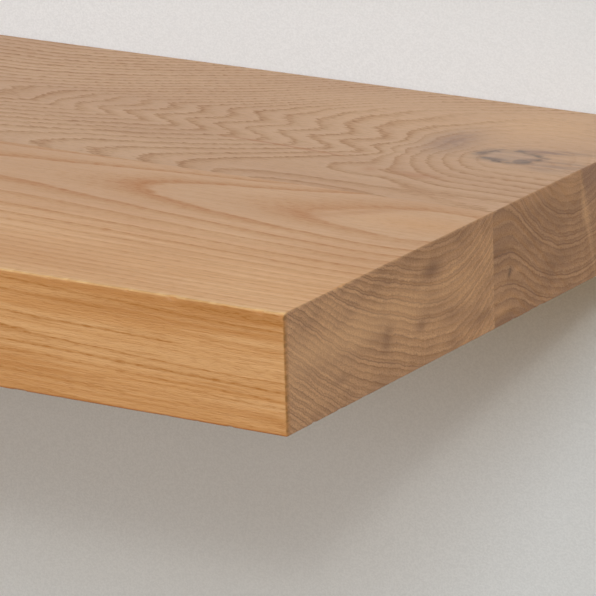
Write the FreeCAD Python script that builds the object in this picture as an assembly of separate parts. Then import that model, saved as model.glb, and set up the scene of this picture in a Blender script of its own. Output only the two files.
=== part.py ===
"""Floating wall shelf: an oak slab edge-glued from two wide staves, carried by a hidden steel bracket.

The bracket is a flat bar screwed to the wall, with round rods standing out of it. The slab is bored from
the back and slides onto the rods; a routed rebate swallows the bar, so that the slab closes against the wall.
Two set screws under the slab, in brass inserts, clamp it on the outer rods.

Frame, in millimetres: +X along the shelf, +Y into the wall, +Z up. The origin is on the wall plane, at the
middle of the wall plate's back face.
"""

import FreeCAD
import Part

import os

# ---- slab ----
SHELF_LENGTH = 800.0
SHELF_DEPTH = 250.0
SHELF_THICKNESS = 40.0
FRONT_STAVE_WIDTH = 127.0
EASED_EDGE = 0.5  # radius of the sanded arrises, on every edge but the two along the wall

# ---- wall plate and its rebate ----
PLATE_THICKNESS = 6.0
PLATE_CORNER = 3.0
REBATE_LIP = 4.0  # wood left above and below the rebate
REBATE_END = 29.0  # wood left at each end of the rebate
REBATE_GAP = 1.0  # between the plate and the rebate, on every side

# ---- rods and their bores ----
ROD_DIAMETER = 12.0
ROD_PITCH = 200.0
ROD_END_MARGIN = 50.0  # least distance from an outer rod's axis to the end of the plate
ROD_TIP_CHAMFER = 1.5
WELD_LEG = 3.0
BORE_CLEARANCE = 0.15  # radial, between a rod and its bore
BORE_FRONT = 70.0  # wood left in front of a bore
BORE_END_GAP = 4.0  # between a rod's tip and the bottom of its bore
BORE_MOUTH_GAP = 1.0  # radial, between the weld and the relief at the bore's mouth

# ---- wall screws ----
SCREW_OFFSET = 50.0  # from a rod's axis to the screw on each side of it
SCREW_LENGTH = 55.0
SCREW_HEAD_DIAMETER = 10.0
SCREW_SHANK_DIAMETER = 3.6
SCREW_THREAD_DIAMETER = 5.0
SCREW_POINT_LENGTH = 4.0
SCREW_HOLE_CLEARANCE = 0.5  # radial, between the thread and the plate's hole
DRIVE_SPAN = 5.0  # across the arms of the cross recess
DRIVE_WIDTH = 1.3
DRIVE_DEPTH = 2.0

# ---- wall plugs ----
PLUG_SETBACK = 2.5  # from the wall plane to the plug's mouth
PLUG_LENGTH = 40.0
PLUG_DIAMETER = 8.0
PLUG_BORE_CLEARANCE = 0.05  # radial, around the screw's thread
PLUG_COLLAR = 12.0  # length of the whole ring at the plug's mouth
PLUG_NOSE = 4.0  # length of the whole ring at the plug's far end
PLUG_SLIT = 1.2
FIN_HEIGHT = 0.9
FIN_WIDTH = 1.0

# ---- lock screws and their inserts ----
LOCK_SETBACK = 60.0  # from the wall plane to a lock screw's axis
LOCK_SCREW_DIAMETER = 6.0
LOCK_TIP_GAP = 0.1  # between the tip and the rod, with the screw just released
LOCK_TIP_CHAMFER = 0.8
LOCK_RECESS = 2.0  # from the underside up to the screw's lower end
LOCK_SOCKET_FLATS = 3.0
LOCK_SOCKET_DEPTH = 3.5
LOCK_WAY_CLEARANCE = 0.2  # radial, around the screw's tip in the wood
INSERT_WALL = 1.45
INSERT_CLEARANCE = 0.05  # radial, around the screw's thread
INSERT_RECESS = 0.5  # from the underside up to the insert's mouth
INSERT_ROOF = 1.35  # wood between the insert and the rod's bore
INSERT_MOUTH_CHAMFER = 0.6

# ---- sizes that follow ----
HALF_LENGTH = SHELF_LENGTH / 2
HALF_THICKNESS = SHELF_THICKNESS / 2
GLUE_LINE_Y = FRONT_STAVE_WIDTH - SHELF_DEPTH
UNDERSIDE = -HALF_THICKNESS

REBATE_REACH = HALF_LENGTH - REBATE_END
REBATE_RISE = HALF_THICKNESS - REBATE_LIP
REBATE_FLOOR_Y = -(PLATE_THICKNESS + REBATE_GAP)
PLATE_REACH = REBATE_REACH - REBATE_GAP
PLATE_RISE = REBATE_RISE - REBATE_GAP

ROD_RADIUS = ROD_DIAMETER / 2
BORE_RADIUS = ROD_RADIUS + BORE_CLEARANCE
BORE_END_Y = BORE_FRONT - SHELF_DEPTH
ROD_TIP_Y = BORE_END_Y + BORE_END_GAP

HEAD_RADIUS = SCREW_HEAD_DIAMETER / 2
SHANK_RADIUS = SCREW_SHANK_DIAMETER / 2
THREAD_RADIUS = SCREW_THREAD_DIAMETER / 2
SCREW_HOLE_RADIUS = THREAD_RADIUS + SCREW_HOLE_CLEARANCE
PLUG_RADIUS = PLUG_DIAMETER / 2
PLUG_BORE_RADIUS = THREAD_RADIUS + PLUG_BORE_CLEARANCE
PLUG_COLLAR_Y = PLUG_SETBACK + PLUG_COLLAR
PLUG_END_Y = PLUG_SETBACK + PLUG_LENGTH

LOCK_RADIUS = LOCK_SCREW_DIAMETER / 2
LOCK_BOTTOM = UNDERSIDE + LOCK_RECESS
LOCK_TOP = -(ROD_RADIUS + LOCK_TIP_GAP)
INSERT_BORE_RADIUS = LOCK_RADIUS + INSERT_CLEARANCE
INSERT_RADIUS = INSERT_BORE_RADIUS + INSERT_WALL
INSERT_BOTTOM = UNDERSIDE + INSERT_RECESS
INSERT_TOP = -(BORE_RADIUS + INSERT_ROOF)

ALONG_X = FreeCAD.Vector(1, 0, 0)
ALONG_Y = FreeCAD.Vector(0, 1, 0)
ALONG_Z = FreeCAD.Vector(0, 0, 1)


def rod_places():
    """X of every rod: as many as fit on the plate at the pitch, centred."""
    count = int((PLATE_REACH - ROD_END_MARGIN) * 2 // ROD_PITCH) + 1
    first = -(count - 1) * ROD_PITCH / 2
    return [first + i * ROD_PITCH for i in range(count)]


def screw_places():
    """X of every wall screw: one on each side of each rod."""
    return [x + side * SCREW_OFFSET for x in rod_places() for side in (-1, 1)]


def lock_places():
    """Name and X of the two lock screws, under the outermost rods."""
    places = rod_places()
    return {"left": places[0], "right": places[-1]}


def box(x, y, z):
    """A box between two values on each axis."""
    corner = FreeCAD.Vector(x[0], y[0], z[0])
    return Part.makeBox(x[1] - x[0], y[1] - y[0], z[1] - z[0], corner)


def turned(centre, axis, profile):
    """A solid turned about a line through centre, along axis.

    The profile's points are (radius, distance along the axis). They are drawn in the plane of the axis and
    +X, and the first and last lie on the axis.
    """
    points = [centre + ALONG_X * radius + axis * distance for radius, distance in profile]
    face = Part.Face(Part.makePolygon(points + points[:1]))
    return face.revolve(centre, axis, 360)


def turned_y(x, profile):
    """A solid turned about the level line through x that runs into the wall."""
    return turned(FreeCAD.Vector(x, 0, 0), ALONG_Y, profile)


def turned_z(x, profile):
    """A solid turned about the upright line of the lock screw at x."""
    return turned(FreeCAD.Vector(x, -LOCK_SETBACK, 0), ALONG_Z, profile)


# ---- slab ----


def eased_slab():
    """The whole slab, with every arris rounded but the two along the wall."""
    slab = box((-HALF_LENGTH, HALF_LENGTH), (-SHELF_DEPTH, 0), (UNDERSIDE, HALF_THICKNESS))
    along_wall = [e for e in slab.Edges if e.BoundBox.YMin > -EASED_EDGE and e.BoundBox.XLength > HALF_LENGTH]
    eased = [e for e in slab.Edges if not any(e.isSame(edge) for edge in along_wall)]
    return slab.makeFillet(EASED_EDGE, eased)


def round_cornered_bar(reach, y_front, rise, corner):
    """A bar centred on the origin from y_front to the wall, with its four corners rounded."""
    bar = box((-reach, reach), (y_front, 0), (-rise, rise))
    corners = [e for e in bar.Edges if e.BoundBox.YLength > abs(y_front) / 2]
    return bar.makeFillet(corner, corners)


def rod_bore(x):
    """One bore, with the relief at its mouth that clears the weld."""
    mouth_radius = BORE_RADIUS + WELD_LEG + BORE_MOUTH_GAP
    profile = [
        (0, BORE_END_Y),
        (BORE_RADIUS, BORE_END_Y),
        (BORE_RADIUS, REBATE_FLOOR_Y - (mouth_radius - BORE_RADIUS)),
        (mouth_radius, REBATE_FLOOR_Y),
        (0, REBATE_FLOOR_Y),
    ]
    return turned_y(x, profile)


def lock_hole(x):
    """The stepped hole under a rod: a pocket for the insert, and a way for the screw's tip above it."""
    way_radius = LOCK_RADIUS + LOCK_WAY_CLEARANCE
    profile = [
        (0, UNDERSIDE),
        (INSERT_RADIUS, UNDERSIDE),
        (INSERT_RADIUS, INSERT_TOP),
        (way_radius, INSERT_TOP),
        (way_radius, -ROD_RADIUS),
        (0, -ROD_RADIUS),
    ]
    return turned_z(x, profile)


def staves():
    """The front and the back stave, cut from one slab at the glue line."""
    cuts = [round_cornered_bar(REBATE_REACH, REBATE_FLOOR_Y, REBATE_RISE, PLATE_CORNER + REBATE_GAP)]
    cuts += [rod_bore(x) for x in rod_places()]
    cuts += [lock_hole(x) for x in lock_places().values()]
    slab = eased_slab().cut(cuts)
    length = (-HALF_LENGTH, HALF_LENGTH)
    height = (UNDERSIDE, HALF_THICKNESS)
    front = slab.common(box(length, (-SHELF_DEPTH, GLUE_LINE_Y), height))
    back = slab.common(box(length, (GLUE_LINE_Y, 0), height))
    return {"front_stave": front, "back_stave": back}


# ---- bracket ----


def countersunk_hole(x):
    """A hole through the plate, with a right-angled countersink that a screw's head fills flush."""
    front = -PLATE_THICKNESS
    profile = [
        (0, front),
        (HEAD_RADIUS, front),
        (SCREW_HOLE_RADIUS, front + HEAD_RADIUS - SCREW_HOLE_RADIUS),
        (SCREW_HOLE_RADIUS, 0),
        (0, 0),
    ]
    return turned_y(x, profile)


def rod_hole(x):
    """A hole through the plate that a rod fills."""
    profile = [(0, -PLATE_THICKNESS), (ROD_RADIUS, -PLATE_THICKNESS), (ROD_RADIUS, 0), (0, 0)]
    return turned_y(x, profile)


def wall_plate():
    """The flat bar, with a hole for each rod and each wall screw."""
    bar = round_cornered_bar(PLATE_REACH, -PLATE_THICKNESS, PLATE_RISE, PLATE_CORNER)
    holes = [rod_hole(x) for x in rod_places()]
    holes += [countersunk_hole(x) for x in screw_places()]
    return bar.cut(holes)


def support_rod(x):
    """One rod, flush with the plate's back, with the weld fillet round its root."""
    front = -PLATE_THICKNESS
    profile = [
        (0, 0),
        (ROD_RADIUS, 0),
        (ROD_RADIUS, front),
        (ROD_RADIUS + WELD_LEG, front),
        (ROD_RADIUS, front - WELD_LEG),
        (ROD_RADIUS, ROD_TIP_Y + ROD_TIP_CHAMFER),
        (ROD_RADIUS - ROD_TIP_CHAMFER, ROD_TIP_Y),
        (0, ROD_TIP_Y),
    ]
    return turned_y(x, profile)


def wall_screw(x):
    """A countersunk wood screw seated in the plate, with a cross recess in its head."""
    head_y = -PLATE_THICKNESS
    tip_y = head_y + SCREW_LENGTH
    profile = [
        (0, head_y),
        (HEAD_RADIUS, head_y),
        (SHANK_RADIUS, head_y + HEAD_RADIUS - SHANK_RADIUS),
        (SHANK_RADIUS, PLUG_SETBACK),
        (THREAD_RADIUS, PLUG_SETBACK),
        (THREAD_RADIUS, tip_y - SCREW_POINT_LENGTH),
        (0, tip_y),
    ]
    span, half_width = DRIVE_SPAN / 2, DRIVE_WIDTH / 2
    depth = (head_y, head_y + DRIVE_DEPTH)
    level_arm = box((x - span, x + span), depth, (-half_width, half_width))
    upright_arm = box((x - half_width, x + half_width), depth, (-span, span))
    return turned_y(x, profile).cut([level_arm, upright_arm])


def wall_plug(x):
    """A nylon plug: a tube slit along its middle so that it spreads, with two fins that stop it turning."""
    tube = Part.makeCylinder(PLUG_RADIUS, PLUG_LENGTH, FreeCAD.Vector(x, PLUG_SETBACK, 0), ALONG_Y)
    fin_tip = PLUG_RADIUS + FIN_HEIGHT
    half_fin, half_slit = FIN_WIDTH / 2, PLUG_SLIT / 2
    collar = (PLUG_SETBACK, PLUG_COLLAR_Y)
    tube = tube.fuse(box((x - half_fin, x + half_fin), collar, (-fin_tip, fin_tip)))
    bore = turned_y(
        x,
        [(0, PLUG_SETBACK), (PLUG_BORE_RADIUS, PLUG_SETBACK), (PLUG_BORE_RADIUS, PLUG_END_Y), (0, PLUG_END_Y)],
    )
    waist = (PLUG_COLLAR_Y, PLUG_END_Y - PLUG_NOSE)
    slit = box((x - half_slit, x + half_slit), waist, (-PLUG_RADIUS, PLUG_RADIUS))
    return tube.cut([bore, slit]).removeSplitter()


# ---- locks ----


def hexagon_socket(x):
    """The six-sided recess in a lock screw's lower end."""
    corner_radius = LOCK_SOCKET_FLATS / 3**0.5
    centre = FreeCAD.Vector(x, -LOCK_SETBACK, LOCK_BOTTOM)
    turns = [FreeCAD.Rotation(ALONG_Z, 60 * i) for i in range(7)]
    corners = [centre + turn.multVec(ALONG_X * corner_radius) for turn in turns]
    return Part.Face(Part.makePolygon(corners)).extrude(ALONG_Z * LOCK_SOCKET_DEPTH)


def lock_screw(x):
    """A set screw with a hexagon socket, just clear of the rod above it."""
    profile = [
        (0, LOCK_BOTTOM),
        (LOCK_RADIUS, LOCK_BOTTOM),
        (LOCK_RADIUS, LOCK_TOP - LOCK_TIP_CHAMFER),
        (LOCK_RADIUS - LOCK_TIP_CHAMFER, LOCK_TOP),
        (0, LOCK_TOP),
    ]
    return turned_z(x, profile).cut(hexagon_socket(x))


def lock_insert(x):
    """The brass insert that a lock screw turns in."""
    sleeve = [(0, INSERT_BOTTOM), (INSERT_RADIUS, INSERT_BOTTOM), (INSERT_RADIUS, INSERT_TOP), (0, INSERT_TOP)]
    bore = [
        (0, INSERT_BOTTOM),
        (INSERT_BORE_RADIUS + INSERT_MOUTH_CHAMFER, INSERT_BOTTOM),
        (INSERT_BORE_RADIUS, INSERT_BOTTOM + INSERT_MOUTH_CHAMFER),
        (INSERT_BORE_RADIUS, INSERT_TOP),
        (0, INSERT_TOP),
    ]
    return turned_z(x, sleeve).cut(turned_z(x, bore))


def pieces():
    """Every node's name and shape."""
    made = staves()
    made["wall_plate"] = wall_plate()
    for number, x in enumerate(rod_places(), 1):
        made[f"support_rod_{number}"] = support_rod(x)
    made["wall_screws"] = Part.makeCompound([wall_screw(x) for x in screw_places()])
    made["wall_plugs"] = Part.makeCompound([wall_plug(x) for x in screw_places()])
    for side, x in lock_places().items():
        made[f"lock_insert_{side}"] = lock_insert(x)
        made[f"lock_screw_{side}"] = lock_screw(x)
    return made


def main():
    os.makedirs("parts", exist_ok=True)
    for name, shape in pieces().items():
        shape.exportStep(os.path.join("parts", name + ".step"))


main()
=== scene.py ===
"""An oak floating shelf over its fixed frame: two glued staves, a hidden steel bracket and its fixings.

Lengths are metres in the frame's axes: +X along the shelf, +Y into the wall, +Z up. The grain is drawn in
millimetres: x is measured from the right end, so it is negative, y from the front and d down from the top.
"""

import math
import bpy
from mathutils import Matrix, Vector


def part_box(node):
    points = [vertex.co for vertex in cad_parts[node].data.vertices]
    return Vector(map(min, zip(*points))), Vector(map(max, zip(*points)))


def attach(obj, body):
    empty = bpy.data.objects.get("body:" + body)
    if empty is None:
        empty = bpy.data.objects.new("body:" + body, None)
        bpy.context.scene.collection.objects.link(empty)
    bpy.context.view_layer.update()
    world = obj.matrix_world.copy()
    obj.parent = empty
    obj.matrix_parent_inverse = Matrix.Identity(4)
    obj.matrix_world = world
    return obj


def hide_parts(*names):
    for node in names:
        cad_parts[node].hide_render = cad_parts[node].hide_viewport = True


bl_info = {
    "name": "Oak floating shelf",
    "version": (1, 0, 0),
    "blender": (4, 5, 0),
    "location": "3D View > Sidebar > Shelf",
    "description": "Models and finishes an oak floating shelf, its hidden bracket and fixings",
    "category": "Object",
}

from typing import NamedTuple

import bmesh
import bpy
import numpy as np
from mathutils import Matrix, Vector

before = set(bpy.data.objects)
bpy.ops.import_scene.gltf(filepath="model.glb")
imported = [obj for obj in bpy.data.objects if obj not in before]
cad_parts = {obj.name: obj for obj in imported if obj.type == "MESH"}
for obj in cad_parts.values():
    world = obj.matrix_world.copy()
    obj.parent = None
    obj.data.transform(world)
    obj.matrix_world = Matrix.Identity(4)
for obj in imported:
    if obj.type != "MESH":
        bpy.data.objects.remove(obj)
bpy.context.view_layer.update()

MM = 0.001
MM_IN_METRE = 1000
OAK_LOW, OAK_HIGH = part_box("front_stave")
BACK_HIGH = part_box("back_stave")[1]
PLATE_LOW, PLATE_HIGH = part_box("wall_plate")
ROD_NODES = ["support_rod_1", "support_rod_2", "support_rod_3", "support_rod_4"]
LOCK_NODES = ["lock_screw_left", "lock_screw_right"]


# ---------------------------------------------------------------- meshes


WOOD_SHARP = 38.0
METAL_SHARP = 30.0
MERGE_DISTANCE = 1e-6
LEAST_EDGE = 1e-7


def grid_faces(rows, columns, wrap_rows=False):
    """Quads over a grid of points stored row by row. Columns always wrap round; rows wrap only if asked."""
    last = rows if wrap_rows else rows - 1
    row = np.arange(last)[:, None]
    column = np.arange(columns)[None, :]
    after, beside = (row + 1) % rows, (column + 1) % columns
    this_row, next_row = row * columns, after * columns
    corners = (this_row + column, this_row + beside, next_row + beside, next_row + column)
    return np.stack(np.broadcast_arrays(*corners), axis=-1).reshape(-1, 4)


def closed_mesh(name, points, faces, sharp=WOOD_SHARP):
    """A mesh with its doubles merged, its normals outward and its edges sharp past an angle in degrees."""
    mesh = bpy.data.meshes.new(name)
    mesh.from_pydata(np.asarray(points, float).reshape(-1, 3).tolist(), [], faces.tolist())
    return tidy_mesh(mesh, sharp)


def tidy_mesh(mesh, sharp=WOOD_SHARP):
    """Merges doubles, drops faces that have no area, points the normals outward and shades smooth."""
    shell = bmesh.new()
    shell.from_mesh(mesh)
    bmesh.ops.remove_doubles(shell, verts=shell.verts, dist=MERGE_DISTANCE)
    bmesh.ops.dissolve_degenerate(shell, edges=shell.edges, dist=LEAST_EDGE)
    bmesh.ops.recalc_face_normals(shell, faces=shell.faces)
    shell.to_mesh(mesh)
    shell.free()
    mesh.shade_smooth()
    mesh.set_sharp_from_angle(angle=math.radians(sharp))
    return mesh


def new_object(mesh):
    """An object for a mesh, linked to the scene, at the origin and unturned."""
    made = bpy.data.objects.new(mesh.name, mesh)
    bpy.context.scene.collection.objects.link(made)
    return made


def add_piece(mesh, material, body, nodes):
    """Puts a finished mesh in the scene with its material under its body, and hides the nodes it stands for.
    """
    made = new_object(mesh)
    mesh.materials.clear()
    mesh.materials.append(material)
    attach(made, body)
    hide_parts(*nodes)
    return made


def carve(mesh, cutters, operation="DIFFERENCE"):
    """The mesh after an exact Boolean with each cutter mesh in turn; the cutters are removed."""
    target = new_object(mesh)
    for cutter in cutters:
        tool = new_object(cutter)
        step = target.modifiers.new("carve", "BOOLEAN")
        step.operation, step.solver, step.object = operation, "EXACT", tool
        graph = bpy.context.evaluated_depsgraph_get()
        graph.update()
        carved = bpy.data.meshes.new_from_object(target.evaluated_get(graph))
        target.modifiers.clear()
        carved.name = mesh.name + "_carved"
        target.data = carved
        bpy.data.objects.remove(tool)
    result = target.data
    bpy.data.objects.remove(target)
    return result


def mesh_arrays(mesh):
    """A mesh's points as an array and its faces as a list of lists."""
    points = np.zeros(len(mesh.vertices) * 3)
    mesh.vertices.foreach_get("co", points)
    return points.reshape(-1, 3), [list(face.vertices) for face in mesh.polygons]


def copies(name, mesh, offsets, sharp=WOOD_SHARP):
    """One mesh of several copies of another, each shifted by its offset."""
    points, faces = mesh_arrays(mesh)
    moved = points[None] + np.asarray(offsets, float)[:, None]
    shifted = [[v + k * len(points) for v in face] for k in range(len(offsets)) for face in faces]
    made = bpy.data.meshes.new(name)
    made.from_pydata(moved.reshape(-1, 3).tolist(), [], shifted)
    return tidy_mesh(made, sharp)


def angles(around):
    """Evenly spaced angles once round the axis."""
    return np.linspace(0, 2 * np.pi, around, endpoint=False)


def all_round(values, around):
    """Numbers for every point of a turned grid: a station that gives one number has it all round."""
    values = np.asarray(values, float)
    return values if values.ndim == 2 else np.repeat(values[:, None], around, axis=1)


def turned(radius, height, around):
    """Points about the Z axis: each station has a radius and a height, and both may change with the angle."""
    angle = angles(around)
    radius, height = all_round(radius, around), all_round(height, around)
    return np.stack([radius * np.cos(angle), radius * np.sin(angle), height], axis=-1)


def turned_stretches(stretches, around):
    """Points about the Z axis from stretches of stations, each a pair of radii and heights."""
    columns = [[all_round(part, around) for part in parts] for parts in zip(*stretches)]
    return turned(np.concatenate(columns[0]), np.concatenate(columns[1]), around)


def along_y(points, x):
    """Turns points about Z into points about a line along Y at that x: their height becomes y."""
    return np.stack([points[..., 0] + x, points[..., 2], points[..., 1]], axis=-1)


def turned_mesh(name, points, hollow=False, sharp=WOOD_SHARP):
    """The closed mesh of a turned grid. A hollow one joins its last station to its first."""
    rows, around = points.shape[:2]
    return closed_mesh(name, points, grid_faces(rows, around, hollow), sharp)


def turned_cutters(name, radius, height, places, around=48):
    """Copies of one plug turned about Y, one at each x of the places."""
    plug = turned_mesh(name + "_one", along_y(turned(radius, height, around), 0.0))
    return copies(name, plug, [(x, 0, 0) for x in places])


def thread(height, pitch, around, crest=0.5):
    """A helical ridge from 0 to 1: a triangle wave of height over pitch less the share of a turn."""
    turn = np.linspace(0, 1, around, endpoint=False)
    phase = (height[:, None] / pitch - turn) % 1.0
    return np.clip(1 - np.abs(phase - 0.5) / crest, 0, 1)


def smooth_step(value, low, high):
    """0 below low, 1 above high, and 3 t squared less 2 t cubed between."""
    t = np.clip((value - low) / (high - low), 0, 1)
    return t * t * (3 - 2 * t)


def middle(node):
    """The x and y of the middle of a node's box, from the frame."""
    low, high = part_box(node)
    return (low.x + high.x) / 2, (low.y + high.y) / 2


# ---------------------------------------------------------------- material maths


class Value:
    """A number or colour on its way through a material. An expression on it adds the nodes it needs."""

    def __init__(self, graph, socket):
        self.graph, self.socket = graph, socket

    def math(self, operation, *others):
        return self.graph.math(operation, self, *others)

    def __add__(self, other):
        return self.math("ADD", other)

    __radd__ = __add__

    def __sub__(self, other):
        return self.math("SUBTRACT", other)

    def __rsub__(self, other):
        return self.graph.math("SUBTRACT", other, self)

    def __mul__(self, other):
        return self.math("MULTIPLY", other)

    __rmul__ = __mul__

    def __truediv__(self, other):
        return self.math("DIVIDE", other)

    def __rtruediv__(self, other):
        return self.graph.math("DIVIDE", other, self)

    def __neg__(self):
        return self.math("MULTIPLY", -1.0)

    def __abs__(self):
        return self.math("ABSOLUTE")

    def least(self, other):
        return self.math("MINIMUM", other)

    def most(self, other):
        return self.math("MAXIMUM", other)

    def soft_least(self, other, width):
        return self.math("SMOOTH_MIN", other, width)

    def soft_most(self, other, width):
        return self.math("SMOOTH_MAX", other, width)

    def root(self):
        return self.math("SQRT")

    def square(self):
        return self * self

    def fraction(self):
        return self.math("FRACT")

    def floor(self):
        return self.math("FLOOR")

    def bell(self, width):
        """e to the minus square of value over width."""
        return (-(self / width).square()).math("EXPONENT")

    def step(self, low, high, start=0.0, end=1.0):
        """A smooth step from start at low to end at high."""
        settings = {"interpolation_type": "SMOOTHSTEP"}
        return self.graph.node("ShaderNodeMapRange", settings, {0: self, 1: low, 2: high, 3: start, 4: end})

    def fall(self, low, high, start=1.0, end=0.0):
        """A smooth step down, from start at low to end at high."""
        return self.step(low, high, start, end)


class Graph:
    """The node tree of a material or a world, emptied and built up by expressions."""

    def __init__(self, owner):
        owner.use_nodes = True
        self.owner, self.tree = owner, owner.node_tree
        self.tree.nodes.clear()

    def node(self, kind, settings, inputs, out=0):
        """Adds a node: its settings first, then the values or links of its sockets; returns one output."""
        made = self.tree.nodes.new(kind)
        for key, value in settings.items():
            setattr(made, key, value)
        for key, value in inputs.items():
            if isinstance(value, Value):
                self.tree.links.new(value.socket, made.inputs[key])
            else:
                made.inputs[key].default_value = value
        return Value(self, made.outputs[out])

    def surface(self, kind, shader):
        """Links a shader to the tree's output node and returns the tree's owner."""
        output = self.tree.nodes.new(kind)
        self.tree.links.new(shader.socket, output.inputs["Surface"])
        return self.owner

    def principled(self, **inputs):
        """A Principled BSDF fed by its sockets' names, with _ for a blank."""
        sockets = {key.replace("_", " "): value for key, value in inputs.items()}
        return self.node("ShaderNodeBsdfPrincipled", {}, sockets)

    def finish(self, **inputs):
        """Ends a material's tree in a Principled BSDF and returns the material."""
        return self.surface("ShaderNodeOutputMaterial", self.principled(**inputs))

    def math(self, operation, *values):
        return self.node("ShaderNodeMath", {"operation": operation}, dict(enumerate(values)))

    def place(self):
        """The object's own x, y and z in metres."""
        spot = self.node("ShaderNodeTexCoord", {}, {}, "Object")
        return [self.node("ShaderNodeSeparateXYZ", {}, {0: spot}, axis) for axis in range(3)]

    def vector(self, x, y, z):
        return self.node("ShaderNodeCombineXYZ", {}, {0: x, 1: y, 2: z})

    def noise(self, x, y, z, detail=2.0, roughness=0.5):
        """Fractal noise of about 0 to 1 at a point whose parts are already scaled."""
        inputs = {"Vector": self.vector(x, y, z), "Scale": 1.0, "Detail": detail, "Roughness": roughness}
        return self.node("ShaderNodeTexNoise", {"noise_dimensions": "3D"}, inputs)

    def grain(self, along_x, along_y, along_z, detail=2.0, roughness=0.5):
        """Noise over the object itself, with its own fineness along each axis, in waves a metre."""
        x, y, z = self.place()
        return self.noise(x * along_x, y * along_y, z * along_z, detail, roughness)

    def random(self, number):
        """A random 0 to 1 for each whole number."""
        return self.node("ShaderNodeTexWhiteNoise", {"noise_dimensions": "1D"}, {"W": number})

    def mix(self, share, first, second):
        """A colour between first and second."""
        inputs = {0: share, 6: colour4(first), 7: colour4(second)}
        return self.node("ShaderNodeMix", {"data_type": "RGBA"}, inputs, 2)

    def lay(self, shade, *coats):
        """Lays coats over a shade in turn, each a share and a colour."""
        for share, colour in coats:
            shade = self.mix(share, shade, colour)
        return shade

    def bump(self, height, distance, strength=1.0):
        inputs = {"Height": height, "Distance": distance, "Strength": strength}
        return self.node("ShaderNodeBump", {}, inputs)


def new_material(name):
    """The graph of a new, empty material."""
    return Graph(bpy.data.materials.new(name))


def colour4(colour):
    """A colour with its alpha, unless it is a link."""
    return colour if isinstance(colour, Value) else (*tuple(colour)[:3], 1.0)


def darker(colour, share):
    """A colour with each of its parts times a share."""
    return tuple(part * share for part in colour)


# ---------------------------------------------------------------- settings


BRIGHTEST_LAMP = 10.0


def colour_setting(name, description, default, most=1.0):
    """A colour that a user may change, each of its parts from 0 to most."""
    return bpy.props.FloatVectorProperty(
        name=name, description=description, default=default, subtype="COLOR", size=3, min=0.0, max=most)


class ShelfBoardSettings(bpy.types.PropertyGroup):
    """How the two staves are cut and worn."""

    easing: bpy.props.FloatProperty(
        name="Eased edge", description="Radius of the outer edges", default=0.5 * MM, unit="LENGTH", min=0)
    nibble_depth: bpy.props.FloatProperty(
        name="Nibble depth", description="How deep the deepest nibble cuts", default=0.9 * MM, unit="LENGTH")
    nibbles: bpy.props.IntProperty(
        name="Nibbles", description="How many small nibbles each outer edge has", default=26, min=0)
    seed: bpy.props.IntProperty(name="Seed", description="Which pattern of nibbles is drawn", default=7)


class ShelfOakSettings(bpy.types.PropertyGroup):
    """Colours of the oiled oak."""

    wood: colour_setting("Wood", "The oak between its ring lines", (0.772, 0.382, 0.138))
    pale: colour_setting("Pale wood", "The palest layers of the oak", (0.840, 0.465, 0.200))
    tawny: colour_setting("Tawny wood", "Darker clouds and streaks", (0.580, 0.240, 0.058))
    rosy: colour_setting("Rosy wood", "The redder middle of the front stave", (0.560, 0.335, 0.195))
    grey: colour_setting("Grey wood", "The cooler tone mixed into the back stave", (0.475, 0.303, 0.209))
    tip: colour_setting("Tips", "The orange tips of the cathedrals", (0.520, 0.200, 0.052))
    # Sanded edge: paler sanded wood plus a painted highlight along the front stave's top edge.
    sanded_edge_and_highlight: colour_setting("Sanded edge", "The paler wood of a sanded edge", (0.900, 0.560, 0.240))
    line: colour_setting("Ring line", "The oil-dark pores at the start of each ring", (0.430, 0.125, 0.012))
    face_line: colour_setting("Face ring line", "The golden pores of the front face", (0.455, 0.168, 0.021))
    back_line: colour_setting("Back ring line", "The browner pores of the back stave", (0.300, 0.118, 0.0345))
    end_wood: colour_setting("End grain", "End grain, which drinks more oil", (0.614, 0.321, 0.145))
    end_pale: colour_setting("Pale end grain", "The dense pale wood of the end grain", (0.766, 0.430, 0.207))
    end_line: colour_setting("End grain line", "The pore bands of the end grain", (0.200, 0.082, 0.030))
    corner_oil: colour_setting("Corner oil", "Oil gathered at the end's front corner", (0.210, 0.092, 0.008))
    smudge: colour_setting("Smudge", "The grey-purple stain by the knot", (0.255, 0.128, 0.085))
    knot: colour_setting("Knot", "The dark bark ring of the knot", (0.082, 0.050, 0.042))
    pip: colour_setting("Pip", "The bark in the small pip of the end", (0.130, 0.055, 0.018))


class ShelfHardwareSettings(bpy.types.PropertyGroup):
    """Finishes of the bracket and fixings."""

    zinc: colour_setting("Zinc", "Bright zinc on the bracket", (0.56, 0.57, 0.59))
    yellow_zinc: colour_setting("Yellow zinc", "Yellow zinc on the wall screws", (0.66, 0.52, 0.25))
    nylon: colour_setting("Nylon", "The grey nylon of the wall plugs", (0.40, 0.41, 0.42))
    brass: colour_setting("Brass", "The turned brass of the inserts", (0.72, 0.52, 0.22))
    black_oxide: colour_setting("Black oxide", "The black steel of the lock screws", (0.035, 0.035, 0.038))


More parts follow.
